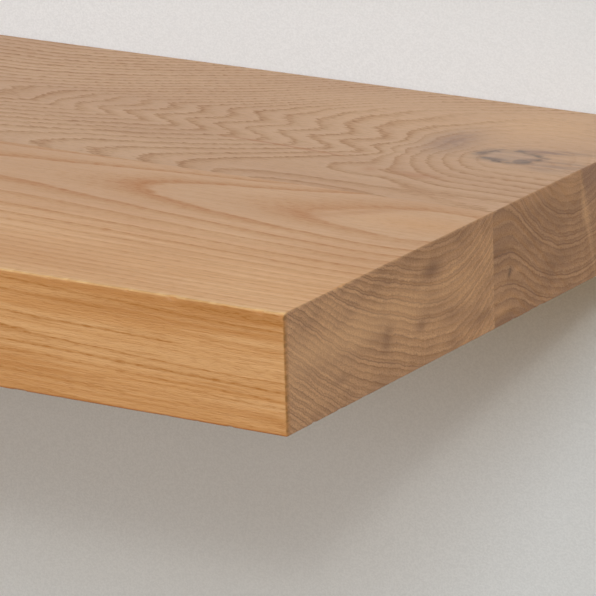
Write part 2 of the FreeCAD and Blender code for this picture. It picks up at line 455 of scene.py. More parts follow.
class ShelfStageSettings(bpy.types.PropertyGroup):
    """The wall, floor, lamps and camera."""

    lens: bpy.props.FloatProperty(name="Lens", description="Focal length in millimetres", default=329.8)
    yaw: bpy.props.FloatProperty(
        name="Yaw", description="Camera turn to the left", default=math.radians(32.909), unit="ROTATION")
    pitch: bpy.props.FloatProperty(
        name="Pitch", description="Camera tilt down", default=math.radians(16.888), unit="ROTATION")
    roll: bpy.props.FloatProperty(
        name="Roll", description="Camera roll", default=math.radians(-1.631), unit="ROTATION")
    wall: colour_setting("Wall", "Wall paint", (0.875, 0.871, 0.858))
    floor: colour_setting("Floor", "Floor colour", (0.80, 0.79, 0.78))
    above: colour_setting("Light from above", "Light above eye level", (0.770, 0.770, 0.760), BRIGHTEST_LAMP)
    zenith: colour_setting("Light overhead", "Light off the ceiling", (0.36, 0.38, 0.39), BRIGHTEST_LAMP)
    below: colour_setting("Light from below", "Light off the floor", (0.19, 0.125, 0.03), BRIGHTEST_LAMP)
    strength: bpy.props.FloatProperty(name="Strength", description="Scales every lamp together", default=1.0)


# ---------------------------------------------------------------- oak


BOARD_LENGTH = (OAK_HIGH.x - OAK_LOW.x) / MM
BOARD_DEPTH = (BACK_HIGH.y - OAK_LOW.y) / MM
BOARD_THICKNESS = (OAK_HIGH.z - OAK_LOW.z) / MM
# Ring widths and the radius of the first ring in millimetres, and how many rings a millimetre down crosses.
FRONT_RING_WIDTH = 3
FRONT_FIRST_RADIUS = 83.25
FRONT_RINGS_DOWN = 0.37
BACK_RINGS_DOWN = 0.185
BACK_END_RING_WIDTH = 2.6


class Stave(NamedTuple):
    """What sets one stave's grain apart, with lengths in millimetres.

    The heart is the middle of its rings, above the top. The salt gives the stave its own draw of every noise.
    The wavers are shares of a ring, rays is how close the rays stand, and streaks and specks are strengths.
    """

    back: bool
    heart_y: float
    heart_height: float
    salt: float
    quick_length: float
    dash_length: float
    slow_waver: float
    quick_waver: float
    streaks: float
    rays: float
    specks: float


FRONT = Stave(back=False, heart_y=104, heart_height=85, salt=0, quick_length=36, dash_length=9,
              slow_waver=0.24, quick_waver=0.12, streaks=0.45, rays=70, specks=0.55)
BACK = Stave(back=True, heart_y=184, heart_height=24, salt=31, quick_length=11, dash_length=4.5,
             slow_waver=0.34, quick_waver=0.22, streaks=0.30, rays=28, specks=0.62)


def spot(x, y, centre_x, centre_y, half_x, half_y):
    """A soft round spot of 1 at its centre, by the square of the distance over its half sizes."""
    far = ((x - centre_x) / half_x).square() + ((y - centre_y) / half_y).square()
    return (-far).math("EXPONENT")


def spots(x, y, table):
    """Several spots added up: a row of the table is a spot's centre, its half sizes and its strength."""
    return sum(spot(x, y, *place) * strength for *place, strength in table)


def front_rings(x, y, d):
    """Ring number in the front stave: distance from a heart line above the top, and more with depth.

    The heart line is lowest 12 mm from the right end and bends 4 mm forward near it. Behind the line, away
    from the end, the rings are drawn together. Two bells spread or squeeze a few of them.
    """
    height = (((x + 12).square() + 80).root() - 9) * 0.0417 + FRONT.heart_height
    beyond = y - FRONT.heart_y + spot(x, y, -50, 101, 16, 12) * 4
    across = beyond * (beyond.math("GREATER_THAN", 0) * x.fall(-90, -45, 0.3) + 1)
    radius = (across.square() + height.square()).root()
    rings = (radius - FRONT_FIRST_RADIUS) / FRONT_RING_WIDTH + d * FRONT_RINGS_DOWN - x.fall(-230, -130, 0.5)
    return rings + (radius - 93.6).bell(4) * 0.35 - (radius - 111).bell(10) * 0.4


def feathered_cathedral(x, y):
    """Ring number along y = 183: a slope up to the right between two levels, drawn out by three feathers.

    Far to the left it closes to a long point.
    """
    slope = ((x + 138) * 0.08 + 1).soft_least(6.4, 2.2).soft_most((x + 235) * 0.02 - 6.5, 1.5)
    feather = (y - 181).bell(6) + (y - 200).bell(6.5) * 0.75
    feather = feather + (y - 210).bell(7) * 0.6 * x.step(-130, -100)
    feather = feather * x.step(-230, -190) * x.step(-75, -45, 1, 0.4)
    return slope + feather - 0.55 - abs(y - 186) * x.fall(-380, -250, 0.19)


def second_cathedral(x, y):
    """Ring number about y = 133: a rounded ridge whose flanks fall away, capped by an arch.

    The arch is drawn out to the right, and a small rise stands between it and the knot.
    """
    lift = (x + 205.5).most(0).square() * 0.00044 + 3.28 - (-x - 175).most(0) * 0.03
    fall = (-x - 140).most(0) * 0.0006 + 0.18
    away = ((y - 133).square() + 144).root() - 12
    beside = (x + 78).least((x + 78) * 0.55)
    cap = spot(beside, y, 0, 124, 32, 10) * 2.2 + 6.7
    return (lift - fall * away).soft_least(cap, 0.8) + spot(x, y, -66, 153, 13, 6.5) * 1.2


def knot_rings(x, y):
    """Rings that the knot adds: a soft cone about it, drawn out in straight lines on its front right."""
    aside = (x + 26).soft_least(y.step(176, 206, 0, 60), 4)
    from_knot = (aside.square() + (y - 188).square() + 25).root()
    return (49.5 - from_knot).soft_most(0, 9) * 0.185


def back_flank(x, y):
    """Ring number behind the cathedrals: it falls with the distance past a line that bends away from them."""
    reach = (x + 250).most(0)
    near = reach.least(60)
    line = reach * 0.12 + near.square() * 0.003167 + (reach - near) * 0.38 + 186.3
    return (y - line) * -0.24 - 5.7 + x.step(-160, -90) * 3


def back_rings(x, y, d):
    """Ring number in the back stave: its figures joined by smooth least and most, and less with depth."""
    ridges = feathered_cathedral(x, y).soft_most(second_cathedral(x, y), 0.6) + knot_rings(x, y)
    return ridges.soft_least(back_flank(x, y), 1.5) - d * BACK_RINGS_DOWN


def back_end_rings(y, d):
    """Ring number on the back stave's end: circles about a heart above the top, flatter by the glue line."""
    aside = abs(y - BACK.heart_y).soft_least(43, 12)
    return (aside.square() + (d + BACK.heart_height).square()).root() / BACK_END_RING_WIDTH


def oak(name, colours, stave):
    """Oiled oak for a stave: staggered open ring pores, streaks, rays, end grain, sanded edges with painted
    light.
    """
    g = new_material(name)
    along, across, up = g.place()
    x = along * MM_IN_METRE - BOARD_LENGTH / 2
    y = across * MM_IN_METRE + BOARD_DEPTH
    d = BOARD_THICKNESS / 2 - up * MM_IN_METRE
    end = (abs(along) * MM_IN_METRE).step(BOARD_LENGTH / 2 - 0.6, BOARD_LENGTH / 2 - 0.1)
    salt = stave.salt

    slow = g.noise(x / 60 + salt, y / 16, d / 16, 1) - 0.5
    quick = g.noise(x / stave.quick_length + salt, y / 2.6, d / 2.6, 1) - 0.5
    dash = g.noise(x / stave.dash_length, y / 0.8, d / 0.8 + salt, 1) - 0.5
    rings = (back_rings if stave.back else front_rings)(x, y, d)
    rings = rings + slow * stave.slow_waver + quick * stave.quick_waver
    pore = g.noise(x / 4, y / 0.8, d / 0.5 + salt, 2, 0.6).step(0.42, 0.68)
    streaks = g.noise(x / 38 + salt, y / 1.9, d / 1.1, 3, 0.62)
    plain = plain_zones(x, y) if stave.back else 1
    layers = (g.noise(rings * 1.6 + salt, x / 90, d / 40, 2, 0.6) - 0.5) * plain + 0.5
    clouds = g.noise(x / 120 + salt, y / 34, d / 24, 2)

    shade = g.lay(
        colours.wood,
        (layers.step(0.3, 0.7), colours.pale),
        (clouds.step(0.38, 0.7, 0, 0.45), colours.tawny),
        (streaks.step(0.42, 0.72, 0, stave.streaks), colours.tawny))
    if stave.back:
        line = colours.back_line
        mark = back_lines(g, x, y, rings, dash, pore, plain)
        shade = g.mix((mark * 0.85).least(0.95), back_tints(g, x, y, shade, colours), line)
        shade = back_figure(g, x, y, d, shade, colours)
    else:
        line = colours.line
        mark = front_lines(g, x, y, d, rings, quick, dash, pore)
        face = on_face(y)
        shade = front_figure(g, x, y, d, shade, colours)
        shade = g.mix((mark * (face * 0.2 + 1.1)).least(0.92), shade, g.mix(face, line, colours.face_line))
    shade = g.mix(pore * 0.15, shade, line)
    shade = g.mix(end, shade, end_grain(g, y, d, rings, stave, colours))
    if not stave.back:
        # sanded pale edges with a painted highlight along the top and painted shade along the bottom
        shade = sanded_edges_highlight_and_shade(g, x, y, d, shade, colours)

    rough = mark * 0.45 + end * 0.20 + (streaks - 0.5) * 0.14 + 0.36
    relief = g.bump(streaks * 0.5 - pore, 0.05 * MM)
    return g.finish(Base_Color=shade, Roughness=rough, Normal=relief)


def ring_lines(g, number, salt, width):
    """The pore line at the start of each ring, quick to rise and slow to fade, and each ring's own luck."""
    share = number.fraction()
    line = (share / -width).math("EXPONENT") * share.step(0, width * 0.4) * 1.2
    return line, g.random(number.floor() + salt)


def on_face(y):
    """1 on the front face and 0 behind it."""
    return y.fall(0.3, 1.5)


# How far the lines of the front face sink for each millimetre to the right.
FACE_SLOPE = 0.024
# Each line's depth 50 mm from the right end, its half width, where it starts and stops, and its strength.
FACE_LINES = (
    (2, 1.4, -46, 60, 0.75),
    (4.7, 0.8, -84, -36, 0.50),
    (7.9, 0.5, -150, -58, 0.60),
    (14.9, 0.5, -150, -34, 0.80),
    (24.6, 0.5, -150, 20, 0.80),
    (27.8, 0.45, -120, 20, 0.60),
    (29.8, 0.4, -66, 20, 0.55),
    (34.3, 0.7, -150, -62, 0.50),
    (37, 1.3, -48, -38, 0.40),
    (35, 1.6, -19, 30, 0.45),
)


def face_lines(x, d):
    """The strongest dark lines of the front face: bells in depth that fade in and out along the shelf."""
    depth = d - (x + 50) * FACE_SLOPE
    strongest = 0
    for at, half, start, stop, strength in FACE_LINES:
        line = (depth - at).bell(half) * x.step(start, start + 12) * x.fall(stop - 12, stop, strength)
        strongest = line.most(strongest)
    return strongest


def front_lines(g, x, y, d, rings, quick, dash, pore):
    """The front stave's pore lines. Its front face adds a few strong lines, fine fibres and short flecks."""
    face = on_face(y)
    uneven = face * ((g.noise(x / 220, d / 5, 11, 1) - 0.5) * 1.8 - (x + 50) * 0.006)
    line, luck = ring_lines(g, rings + uneven + dash * y.step(30, 60, 0.3, 0.08), FRONT.salt, 0.32)
    shown = y.step(40, 54, 0.42, 0.72).most(face * luck.step(0.2, 1, 0.15, 1.1))
    mark = line * (luck * 0.3 + 0.7) * (pore * 0.5 + 0.65) * shown
    strong = face_lines(x, d + quick * 2) * face * (pore * 0.55 + 0.55)
    fibres = g.noise(x / 40, 3, d / 0.6, 2, 0.6).step(0.5, 0.75)
    flecks = g.noise(x / 11, 8, d / 0.8, 2, 0.5).step(0.55, 0.75)
    return mark.most(strong).most(fibres.most(flecks) * face * 0.42)


# Soft spots along and across the wood: each row is a centre, two half sizes and a strength, in millimetres.
CALM_PATCHES = (
    (-26, 206, 36, 24, 1.4),
    (-95, 232, 50, 13, 0.8),
    (-30, 239, 24, 8, 1.2),
    (-20, 176, 26, 14, 0.5),
    (-18, 134, 26, 6, 0.6),
)
BRIGHT_PATCHES = ((-38, 228, 24, 18, 0.30), (-95, 212, 40, 14, 0.12))
STAINS = ((-5, 187, 16, 4.5, 1.3), (-29, 189, 19, 13, 0.55), (-12, 180, 13, 4, 0.7))
WEDGES = ((-45, 154.5, 7, 2.6, 0.5), (-64, 154, 3, 2.5, 0.4))
FRONT_TIPS = ((-123, 103, 9, 7, 0.25), (-57, 98, 13, 5, 0.26))
# The same, along and down the front face.
FACE_BANDS = (
    (-28, 1.5, 60, 5, 0.5),
    (-30, 37, 40, 4.5, 0.4),
    (-110, 32, 40, 5, 0.35),
    (-70, 8.5, 90, 4, 0.38),
)
FACE_GLOWS = ((-40, 20.5, 90, 5.5, 0.7), (-25, 32.3, 30, 1.6, 0.3), (-10, 11, 22, 1.2, 0.6))
# The same, across and down the end.
FRONT_END_SMUDGES = (
    (88, 9, 7, 3.5, 1.6),
    (60, 25, 3.5, 4, 1),
    (81, 26, 2.5, 2, 1),
    (101, 28, 7, 3, 0.8),
    (33, 30.5, 6, 1.8, 0.8),
    (118, 33.5, 6, 2.5, 0.7),
    (60, 38, 50, 5, 0.3),
)
BACK_END_DIM = ((134, 12, 9, 9, 0.3), (166, 12, 10, 6, 0.35), (170, 28, 14, 4, 0.35), (134, 38.5, 8, 2, 0.4))
BACK_END_LIT = (
    (131, 35, 5, 1.4, 0.6),
    (141.5, 23.5, 2.5, 1.2, 0.5),
    (178, 5, 7, 4, 0.35),
    (165, 2, 26, 3, 0.35),
    (130, 29, 5, 5, 0.3),
)


def plain_zones(x, y):
    """1 where the back stave's ring lines show in full, and less by the knot and in calm patches."""
    return 1 - spots(x, y, CALM_PATCHES).least(1) * 0.85


def back_lines(g, x, y, rings, dash, pore, plain):
    """The back stave's pore lines, ragged but for a smoother stretch, and faint where the wood is plain."""
    ragged = 0.7 - spot(x, y, -50, 138, 70, 22) * 0.6
    line, luck = ring_lines(g, rings + dash * ragged, BACK.salt, 0.28)
    return line * (luck * 0.5 + 0.7) * (pore * 0.6 + 0.6) * plain


def back_tints(g, x, y, shade, colours):
    """The back stave's cooler ground, with an orange tip by the end and two bright patches."""
    return g.lay(
        shade,
        (0.5, colours.grey),
        (spot(x, y, -30, 130, 70, 13) * 0.17, colours.tip),
        (spots(x, y, BRIGHT_PATCHES), colours.pale))


def front_figure(g, x, y, d, shade, colours):
    """The front stave's tints: rosier towards the glue line, a glow, orange tips and bands on the face."""
    face = on_face(y)
    slanted = spot(x, y - (x + 38) * 0.75, -38, 108.5, 12, 3.6) * 0.60
    bands = spots(x, d, FACE_BANDS) + d.step(0.5, 1) * d.fall(1.5, 3.2, 0.6)
    broad = g.noise(x / 110, d / 3.6, 23, 2).step(0.4, 0.75, 0, 0.6)
    return g.lay(
        shade,
        (y.step(10, 110, 0, 0.55), colours.rosy),
        (spot(x, y, -14, 104, 26, 9) * 0.4, colours.wood),
        (y.fall(5, 16, 0.25) * (1 - face), colours.pale),
        (spots(x, y, FRONT_TIPS) + slanted, colours.tip),
        (((bands * 0.75 + broad) * face).least(0.8), colours.tawny),
        (spots(x, d, FACE_GLOWS) * face, colours.pale))


def sanded_edges_highlight_and_shade(g, x, y, d, shade, colours):
    """The front stave's long edges: sanded pale with a painted highlight on top, most by the end; painted
    shade below.
    """
    rub_and_glints = g.noise(x / 6, 0, 4, 2).step(0.45, 0.65, 0.15, 1)
    top_edge = y.fall(0.5, 3.2) * d.fall(0.2, 0.6)
    bottom_edge_shade = (y + (BOARD_THICKNESS - d)).fall(0.3, 1, 0.75)
    return g.lay(
        shade,
        # painted highlight: sanded pale wood and glints along the top edge, brightest by the end's corner
        (top_edge * (rub_and_glints * 0.4 + x.step(-4, -1, 0.35, 0.6)), colours.sanded_edge_and_highlight),
        # painted shade along the bottom edge, where its rounding turns away from the light
        (bottom_edge_shade, colours.line))


def fine_check(x, y):
    """A hairline check that curves beside the feathered cathedral and fades out at both ends."""
    run = x + 133
    check = (y - 168 + run * 0.04 + run.square() * 0.0007).bell(0.7)
    return check * x.step(-140, -120) * x.fall(-95, -70) * 0.7


def back_figure(g, x, y, d, shade, colours):
    """The back stave's knot: a broken dark ring, a blotch, trailing stains, a smudge, wedges and a check."""
    keep = d.fall(6, 16)
    ragged = g.noise(x / 3, y / 3, 5, 2) - 0.5
    ring_at = (((x + 29.5) / 11.5).square() + ((y - 189) / 7).square()).root() + ragged * 0.45
    broken = g.noise(x / 6, y / 5, 2, 1).step(0.40, 0.6, 0.2, 1)
    ring = (ring_at - 0.95).bell(0.25) * broken
    ring = ring.most(spot(x, y, -33, 183.5, 6, 1.8)).most(spot(x, y, -40, 189, 2.2, 4) * 0.9)
    blotch = spot(x, y, -23, 184.7, 3.6, 3.6).step(0.3, 0.7) * 0.8
    smudge = spot(x, y, -57, 197, 8.5, 15) * (ragged * 0.8 + 0.6)
    wisps = g.noise(x / 18, y / 2.6, 7, 2).step(0.35, 0.65, 0.3, 1)
    trails = spots(x, y, STAINS) + spot(x, y - (x + 18) * 0.35, -18, 199.5, 14, 3.6) * 1.5
    return g.lay(
        shade,
        (((smudge + trails * wisps * 0.5) * keep).least(0.8), colours.smudge),
        (ring_at.fall(0.6, 1, 0.35) * keep, colours.grey),
        ((ring.most(blotch) * keep).least(1) * 0.8, colours.knot),
        ((spots(x, y, WEDGES) + fine_check(x, y)) * keep, colours.line))


def end_grain(g, y, d, rings, stave, colours):
    """End grain: dark pore bands with pale wood between them, rays across the rings, blotches and specks."""
    salt = stave.salt
    wobble = (g.noise(y / 8, d / 8, salt, 2) - 0.5) * 0.9 + (g.noise(y / 3, d / 3, salt, 1) - 0.5) * 0.25
    number = back_end_rings(y, d) if stave.back else rings + (y - 94).most(0).square() * 0.0035
    number = number + wobble
    speck = g.noise(y / 0.6, d / 0.6, salt, 2, 0.7)
    dark, luck = ring_lines(g, number + (speck - 0.5) * 0.5, salt, 0.2)
    twin = (number.fraction() - 0.5).bell(0.08) * g.random(number.floor() + salt + 9).step(0.2, 0.8)
    pale = (number.fraction() - 0.78).bell(0.12) * g.random(number.floor() + salt + 5).step(0.1, 0.9, 0.25, 1)
    along_ring = g.noise(number * 0.4, y / 7, salt, 2)
    turn = (y - stave.heart_y) / (d + stave.heart_height)
    rays = g.noise(turn * stave.rays, number * 0.08, salt, 2, 0.6)
    blotches = g.noise(y / 16 + salt, d / 9, 3, 2, 0.55)
    bold = 1 if stave.back else y.step(45, 100, 0.9, 0.6)

    shade = g.lay(
        colours.end_wood,
        (rays.step(0.35, 0.75, 0, 0.45), colours.end_pale),
        (blotches.step(0.38, 0.75, 0.04, 0.42), colours.end_line),
        (pale * along_ring.step(0.35, 0.65, 0.3, 1) * bold * 0.68, colours.end_pale),
        (dark * (luck * 0.5 + 0.5) * along_ring.step(0.2, 0.6, 0.5, 1) * bold, colours.end_line),
        (twin * 0.75 * bold, colours.end_line),
        (speck.step(0.45, 0.75) * stave.specks, colours.end_line))
    return (back_end if stave.back else front_end)(g, y, d, shade, colours)


def front_end(g, y, d, shade, colours):
    """The front stave's end: a paler middle, dark smudges, and a rich front edge with oil-dark beads."""
    beads = g.noise(d / 2.2, 6, 2, 1).step(0.40, 0.62, 0.12, 0.65)
    return g.lay(
        shade,
        (spot(y, d, 36, 18, 62, 6.5) * 0.45, colours.end_pale),
        (spot(y, d, 100, 1.5, 34, 4.5) * 0.28, colours.end_line),
        ((spots(y, d, FRONT_END_SMUDGES) * 0.5).least(0.8), colours.end_line),
        (d.fall(1, 4, 0.08), colours.end_line),
        (y.fall(0.5, 3, 0.65), colours.tawny),
        (y.fall(0.8, 2.4) * beads, colours.corner_oil))


def back_end(g, y, d, shade, colours):
    """The back stave's end: darker, with dim and lit patches, a small pip and the ray split by the knot."""
    torn = (g.noise(y / 1.2, d / 1.2, 6, 2) - 0.5) * 1.6
    pip = spot(y, d + (y - 137.3) * 0.7 + torn, 137.3, 23.3, 1.3, 1.5)
    split = y - 184.2 - d * 0.26 + (g.noise(d / 5, 2, 1, 3) - 0.5) * 3
    open_middle = (d - 16).bell(8)
    return g.lay(
        shade,
        (0.35, colours.end_line),
        (spots(y, d, BACK_END_DIM), colours.end_line),
        (spots(y, d, BACK_END_LIT), colours.end_wood),
        (pip * 0.75, colours.pip),
        (split.step(0, 3) * d.fall(3, 18, 0.45), colours.smudge),
        ((split / (open_middle * 1.4 + 0.7)).bell(1) * (open_middle * 0.3 + 0.15), colours.end_pale))


# ---------------------------------------------------------------- staves


GLUE_Y = OAK_HIGH.y
NEAR_EDGE = np.array([0.0, 0.3, 0.7, 1.2, 2.0]) * MM
FLAT_STEP = 1.5 * MM
FACE_STEP = 1.3 * MM
GLUE_STEP = 5.0 * MM
ARC_STEPS = 6
FINE_REACH = 110 * MM
COARSE_REACH = 60 * MM
FINE_STATIONS, MIDDLE_STATIONS, COARSE_STATIONS = 136, 124, 46
CAP_SHARES = np.array([0.015, 0.035, 0.06, 0.1, 0.25, 0.5, 0.75, 1.0])[:, None, None]
WORN_REACH = 105 * MM
BELL_POWER = 2.5
# The least and most of a nibble's width in millimetres, and of the root of its share of the full depth.
NIBBLE_WIDTHS = (0.5, 1.8)
NIBBLE_DEPTHS = (0.15, 1.0)
# Nibbles by the front top corner: how far from it along X, how deep for the deepest nibble, and how wide.
CORNER_NIBBLES = np.array([0.6, 8.5, 41.0]) * MM
CORNER_NIBBLE_SHARE = 1.2
CORNER_NIBBLE_WIDTH = 1.6 * MM
# How deep the nibbles are on the front's long edges, on the ends' edges and on the upright corners.
LONG_SHARE, END_SHARE, CORNER_SHARE = 0.7, 0.8, 0.5
# The sanding is a sum of waves, each with a wave number in radians a metre between these two.
SANDING_WAVES = 7
SANDING_WAVE_NUMBERS = (30, 900)


def graded(start, end, step):
    """Numbers from start to end, close together near both and evenly spaced between."""
    way = 1 if end > start else -1
    first, last = start + way * NEAR_EDGE, end - way * NEAR_EDGE[::-1]
    count = max(2, round(abs(last[0] - first[-1]) / step))
    return np.concatenate([first, np.linspace(first[-1], last[0], count + 1)[1:-1], last])


def stave_outline(y_front, y_back, half, radius, front_eased):
    """A stave's section as points (y, z) and the way each moves in as the end's edge is rounded over.

    It runs up the front, back along the top, down the back and forward along the bottom. The eased corners
    are arcs. Points on a face that stays square only slide up or down, by their share of the half height.
    """
    ease = radius if front_eased else 0.0
    z_front = graded(-half + ease, half - ease, FACE_STEP if front_eased else GLUE_STEP)
    front = np.stack([np.full_like(z_front, y_front), z_front], -1)
    front_way = np.tile([-1.0, 0.0], (len(front), 1)) if front_eased else front * [0, 1 / half]
    y_top = graded(y_front + ease, y_back, FLAT_STEP)
    top = np.stack([y_top, np.full_like(y_top, half)], -1)
    top_way = np.tile([0.0, 1.0], (len(top), 1))
    z_back = graded(half, -half, GLUE_STEP)[1:-1]
    back = np.stack([np.full_like(z_back, y_back), z_back], -1)
    back_way = back * [0, 1 / half]
    flipped = [1, -1]
    if front_eased:
        angle = np.linspace(np.pi, np.pi / 2, ARC_STEPS + 1)[1:-1]
        way = np.stack([np.cos(angle), np.sin(angle)], -1)
        arc = way * radius + [y_front + radius, half - radius]
        parts = [front, arc, top, back, top[::-1] * flipped, arc[::-1] * flipped]
        ways = [front_way, way, top_way, back_way, top_way * flipped, way[::-1] * flipped]
    else:
        parts = [front, top[1:], back, top[:0:-1] * flipped]
        ways = [front_way, top_way[1:], back_way, top_way[1:] * flipped]
    return np.concatenate(parts), np.concatenate(ways)


def stave_surface(y_front, y_back, radius, front_eased):
    """A stave's closed surface: its section carried along X, rounded at both ends and drawn in to a line."""
    half, reach = OAK_HIGH.z, OAK_HIGH.x
    section, way = stave_outline(y_front, y_back, half, radius, front_eased)
    inner = reach - radius
    fine = np.linspace(reach - FINE_REACH, inner - NEAR_EDGE[-1], FINE_STATIONS)
    rough = np.linspace(-reach + COARSE_REACH, reach - FINE_REACH, MIDDLE_STATIONS)[:-1]
    left = np.linspace(-inner + NEAR_EDGE[-1], -reach + COARSE_REACH, COARSE_STATIONS)[:-1]
    run = np.concatenate([-inner + NEAR_EDGE[:-1], left, rough, fine, inner - NEAR_EDGE[-2::-1]])
    angle = np.linspace(0, np.pi / 2, ARC_STEPS + 1)[1:]
    arc_x, arc_in = inner + radius * np.sin(angle), radius * (1 - np.cos(angle))
    x = np.concatenate([-arc_x[::-1], run, arc_x])
    inset = np.concatenate([arc_in[::-1], 0 * run, arc_in])
    body = section[None] - inset[:, None, None] * way[None]
    rim = section - radius * way
    spine = np.stack([np.clip(rim[:, 0], y_front + half, y_back - half), 0 * rim[:, 1]], -1)
    cap = rim[None] * (1 - CAP_SHARES) + spine[None] * CAP_SHARES
    yz = np.concatenate([cap[::-1], body, cap])
    x = np.concatenate([np.full(len(cap), -reach), x, np.full(len(cap), reach)])
    return np.concatenate([np.broadcast_to(x[:, None, None], (*yz.shape[:2], 1)), yz], axis=-1)


def edge_cut(along, places, widths, depths, waves, radius):
    """How deep an edge is cut at each place along it: a shallow uneven sanding plus the nibbles' bells."""
    sanding = sum(np.sin(along * k + phase) for k, phase in waves) / len(waves)
    bells = depths[None] * np.exp(-np.abs((along.reshape(-1, 1) - places[None]) / widths[None]) ** BELL_POWER)
    return radius * (0.5 + 0.25 * sanding) + bells.max(axis=1).reshape(along.shape)


def worn(points, radius, depth, count, seed, y_front):
    """Cuts each outer edge back by a flat at 45 degrees whose depth changes along the edge.

    A point whose distances to the two faces of an edge add up to less than the cut moves in by half the lack
    on each, so the sanded round becomes an uneven flat with small nibbles in it. A face is given by its axis,
    its side and its place.
    """
    draw = np.random.default_rng(seed)
    half, reach = OAK_HIGH.z, OAK_HIGH.x
    p = points.copy()

    def cut_for(along, low, high, share, own=()):
        places = np.concatenate([draw.uniform(low, high, count), own])
        widths = draw.uniform(*NIBBLE_WIDTHS, len(places)) * MM
        depths = draw.uniform(*NIBBLE_DEPTHS, len(places)) ** 2 * depth * share
        if len(own):
            depths[-len(own):], widths[-len(own):] = depth * CORNER_NIBBLE_SHARE, CORNER_NIBBLE_WIDTH
        waves = [(draw.uniform(*SANDING_WAVE_NUMBERS), draw.uniform(0, 6.3)) for _ in range(SANDING_WAVES)]
        return edge_cut(along, places, widths, depths, waves, radius)

    def trim(cut, *faces):
        lack = cut
        for axis, side, at in faces:
            lack = lack - side * (at - p[..., axis])
        lack = np.clip(lack, 0, None) / 2
        for axis, side, _ in faces:
            p[..., axis] -= side * lack

    own = reach - CORNER_NIBBLES
    outward = np.where(p[..., 0] < 0, -1, 1)
    ends, front = (0, outward, outward * reach), (1, -1, y_front)
    for up in (1, -1):
        flat = (2, up, up * half)
        if y_front is not None:
            cut = cut_for(p[..., 0], reach - WORN_REACH, reach, LONG_SHARE, own if up > 0 else ())
            trim(cut, flat, front)
        trim(cut_for(p[..., 1], OAK_LOW.y, BACK_HIGH.y, END_SHARE), flat, ends)
    if y_front is not None:
        trim(cut_for(p[..., 2], -half, half, CORNER_SHARE), front, ends)
    return p


BORE_RADIUS = 6.15 * MM
BORE_END = -180 * MM
BORE_MOUTH = -7 * MM
MOUTH_RELIEF = 4.0 * MM
REBATE = (371 * MM, 16 * MM, 7 * MM)
REBATE_CORNER = 4 * MM
PROUD = 1 * MM
# The profile of a lock hole, as radius and height: wide for the insert, then narrow for the screw's point.
LOCK_HOLE = np.array([(0, -21), (4.5, -21), (4.5, -7.5), (3.2, -7.5), (3.2, -5), (0, -5)]) * MM


def rod_places():
    """The x of each rod, from the frame."""
    return [middle(node)[0] for node in ROD_NODES]


def rounded_rectangle(half_x, half_z, corner, steps=6):
    """Points (x, z) round a rectangle with quarter-circle corners."""
    angle = np.linspace(0, np.pi / 2, steps + 1)
    arc = np.stack([np.cos(angle), np.sin(angle)], -1) * corner
    quarters = [(1, 1, False), (-1, 1, True), (-1, -1, False), (1, -1, True)]
    pieces = []
    for sx, sz, flip in quarters:
        quarter = (arc + [half_x - corner, half_z - corner]) * [sx, sz]
        pieces.append(quarter[::-1] if flip else quarter)
    return np.concatenate(pieces)


def bar_mesh(name, half_x, half_z, corner, stations):
    """A bar along Y: a rounded rectangle at stations of (y, inset), its ends drawn in to a line."""
    outline = rounded_rectangle(half_x, half_z, corner)
    centre = np.clip(outline, [-half_x + corner, -half_z + corner], [half_x - corner, half_z - corner])
    outward = (outline - centre) / corner
    rings = [outline - inset * outward for _, inset in stations]
    spine = np.stack([np.clip(outline[:, 0], -half_x + half_z, half_x - half_z), 0 * outline[:, 1]], -1)
    rings = [spine] + rings + [spine]
    y = [stations[0][0]] + [y for y, _ in stations] + [stations[-1][0]]
    points = np.stack([np.insert(ring, 1, at, axis=1) for ring, at in zip(rings, y)])
    return closed_mesh(name, points, grid_faces(*points.shape[:2]))


def bore_cutter(name):
    """One mesh of four stepped plugs, the shapes of the rods' bores with their relieved mouths."""
    mouth = BORE_RADIUS + MOUTH_RELIEF
    radius = [0, BORE_RADIUS, BORE_RADIUS, mouth, mouth, 0]
    height = [BORE_END, BORE_END, BORE_MOUTH - MOUTH_RELIEF, BORE_MOUTH, PROUD, PROUD]
    return turned_cutters(name, radius, height, rod_places())


def lock_cutter(name):
    """One mesh of two stepped plugs, the holes of the inserts and lock screws in the underside."""
    plug = turned_mesh(name + "_one", turned(LOCK_HOLE[:, 0], LOCK_HOLE[:, 1], 48))
    return copies(name, plug, [(*middle(node), 0) for node in LOCK_NODES])


def carved_stave(name, board, y_front, y_back, seed, eased, cutters):
    """One stave: its surface, worn along its outer edges and then carved by its cutters."""
    surface = stave_surface(y_front, y_back, board.easing, eased)
    worn_front = y_front if eased else None
    surface = worn(surface, board.easing, board.nibble_depth, board.nibbles, seed, worn_front)
    mesh = carve(closed_mesh(name, surface, grid_faces(*surface.shape[:2])), cutters)
    mesh.name = name
    return tidy_mesh(mesh)


class SHELF_OT_staves(bpy.types.Operator):
    """Models the two oak staves with worn edges, the rebate, the rods' bores and the lock holes"""

    bl_idname = "shelf.staves"
    bl_label = "Oak staves"

    def execute(self, context):
        board, colours = context.scene.shelf_board, context.scene.shelf_oak
        cutters = [bore_cutter("front_bores")]
        mesh = carved_stave("oak_front_stave", board, OAK_LOW.y, GLUE_Y, board.seed, True, cutters)
        add_piece(mesh, oak("oak_front", colours, FRONT), "shelf", ["front_stave"])

        half_x, half_z, deep = REBATE
        rebate = bar_mesh("rebate", half_x, half_z, REBATE_CORNER, [(-deep, 0.0), (PROUD, 0.0)])
        cutters = [rebate, bore_cutter("back_bores"), lock_cutter("lock_holes")]
        mesh = carved_stave("oak_back_stave", board, GLUE_Y, BACK_HIGH.y, board.seed + 1, False, cutters)
        add_piece(mesh, oak("oak_back", colours, BACK), "shelf", ["back_stave"])
        return {"FINISHED"}


# ---------------------------------------------------------------- bracket


